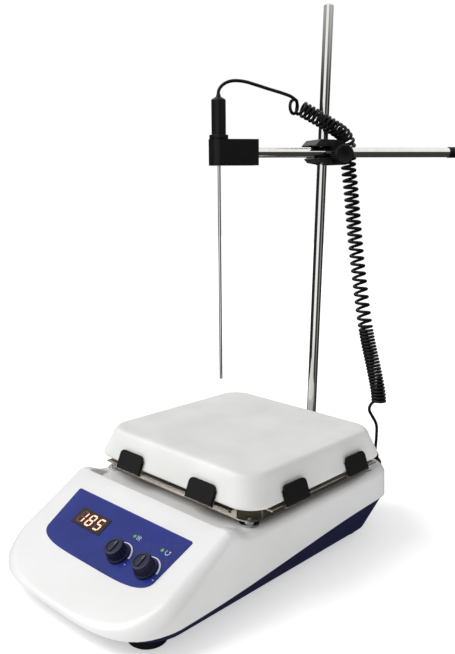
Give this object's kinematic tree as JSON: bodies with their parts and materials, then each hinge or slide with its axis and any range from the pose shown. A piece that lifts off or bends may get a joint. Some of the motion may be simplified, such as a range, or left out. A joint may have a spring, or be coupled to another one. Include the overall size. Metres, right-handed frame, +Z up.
{
  "type": "magnetic stirrer",
  "caption": "Hot-plate magnetic stirrer: sloped control panel, square plate in a steel tray, support rod, clamped cross rod and a temperature probe on a curly lead.",
  "frame": {"origin": "on the table, under the centre of the box around the rigid pieces", "axes": "+Z up, +Y to the rear of the housing, +X to the user's right"},
  "size_m": [0.2186, 0.4554, 0.525],
  "materials": {
    "housing_white": "satin",
    "housing_navy": "satin",
    "rubber_black": "matte",
    "screw_steel": "satin",
    "label_blue": "satin",
    "display_red": "gloss",
    "part_black": "satin",
    "lens_green": "gloss",
    "board_green": "satin",
    "motor_metal": "satin",
    "bracket_steel": "satin",
    "magnet_dark": "satin",
    "knob_navy": "satin",
    "tray_steel": "satin",
    "insulation": "matte",
    "element_steel": "matte",
    "plate_white": "matte",
    "rod_steel": "polished",
    "clamp_grey": "satin",
    "clamp_black": "satin",
    "probe_black": "satin",
    "lead_black": "satin"
  },
  "bodies": {
    "base": {"upper_housing": "housing_white", "lower_housing": "housing_navy", "feet": "rubber_black", "housing_screws": "screw_steel", "control_label": "label_blue", "display_window": "display_red", "display_module": "part_black", "indicator_lenses": "lens_green", "control_board": "board_green", "potentiometers": "motor_metal", "power_board": "board_green", "motor": "motor_metal", "motor_bracket": "bracket_steel", "bracket_screws": "screw_steel", "standoffs": "screw_steel", "standoff_washers": "screw_steel", "tray_nuts": "screw_steel", "plate_tray": "tray_steel", "edge_pads": "rubber_black", "insulation_pad": "insulation", "heating_element": "element_steel", "plate_sensor": "element_steel", "hot_plate": "plate_white", "rod_socket": "motor_metal", "lead_coil_lower": "lead_black", "lead_tail": "lead_black", "sensor_plug": "probe_black", "sensor_socket": "motor_metal", "power_inlet": "part_black", "power_switch": "part_black"},
    "heat_dial": {"heat_knob": "knob_navy"},
    "stir_dial": {"stir_knob": "knob_navy"},
    "rotor": {"motor_shaft": "bracket_steel", "magnet_carrier": "motor_metal", "drive_magnets": "magnet_dark", "carrier_screw": "screw_steel"},
    "rocker": {"power_rocker": "part_black"},
    "mast": {"support_rod": "rod_steel", "lead_coil_middle": "lead_black"},
    "boss": {"boss_head": "clamp_grey", "lead_coil_upper": "lead_black"},
    "arm_screw": {"arm_clamp_screw": "clamp_black"},
    "rod_screw": {"rod_clamp_screw": "clamp_black"},
    "arm": {"cross_rod": "rod_steel", "cross_rod_cap": "clamp_black", "probe_holder": "probe_black", "holder_set_screw": "screw_steel"},
    "probe": {"probe_sheath": "rod_steel", "probe_collar": "probe_black", "probe_handle": "probe_black", "probe_strain_relief": "probe_black", "lead_arc": "lead_black"}
  },
  "joints": [
    {"name": "heat_dial_turn", "type": "hinge", "parent": "base", "child": "heat_dial", "pos_m": [0.0213, -0.17447, 0.04743], "axis": [0, -0.4909, 0.8712], "range_deg": [-270, 0]},
    {"name": "stir_dial_turn", "type": "hinge", "parent": "base", "child": "stir_dial", "pos_m": [0.0553, -0.17447, 0.04743], "axis": [0, -0.4909, 0.8712], "range_deg": [-270, 0]},
    {"name": "rotor_spin", "type": "hinge", "parent": "base", "child": "rotor", "pos_m": [0, -0.00076, 0.06], "axis": [0, 0, 1], "continuous": true},
    {"name": "power_rocker_tilt", "type": "hinge", "parent": "base", "child": "rocker", "pos_m": [0.034, 0.12914, 0.051], "axis": [0, 0, 1], "range_deg": [-18, 0]},
    {"name": "mast_turn", "type": "hinge", "parent": "base", "child": "mast", "pos_m": [0.001, 0.11324, 0.06], "axis": [0, 0, 1], "range_deg": [-30, 45], "deforming": ["lead_coil_lower"]},
    {"name": "boss_slide", "type": "slide", "parent": "mast", "child": "boss", "axis": [0, 0, 1], "range_m": [-0.03, 0.12], "deforming": ["lead_coil_middle"]},
    {"name": "arm_screw_turn", "type": "hinge", "parent": "boss", "child": "arm_screw", "pos_m": [0.03417, 0.10005, 0.378], "axis": [0.8387, -0.5446, 0], "range_deg": [-360, 0]},
    {"name": "rod_screw_turn", "type": "hinge", "parent": "boss", "child": "rod_screw", "pos_m": [-0.0141, 0.12305, 0.3805], "axis": [-0.8387, 0.5446, 0], "range_deg": [-360, 0]},
    {"name": "arm_slide", "type": "slide", "parent": "boss", "child": "arm", "axis": [0.5444, 0.8383, 0.0279], "range_m": [-0.025, 0.04], "deforming": ["lead_coil_upper"]},
    {"name": "probe_lift", "type": "slide", "parent": "arm", "child": "probe", "axis": [-0.0152, -0.0234, 0.9996], "range_m": [0, 0.08], "deforming": ["lead_arc"]}
  ]
}
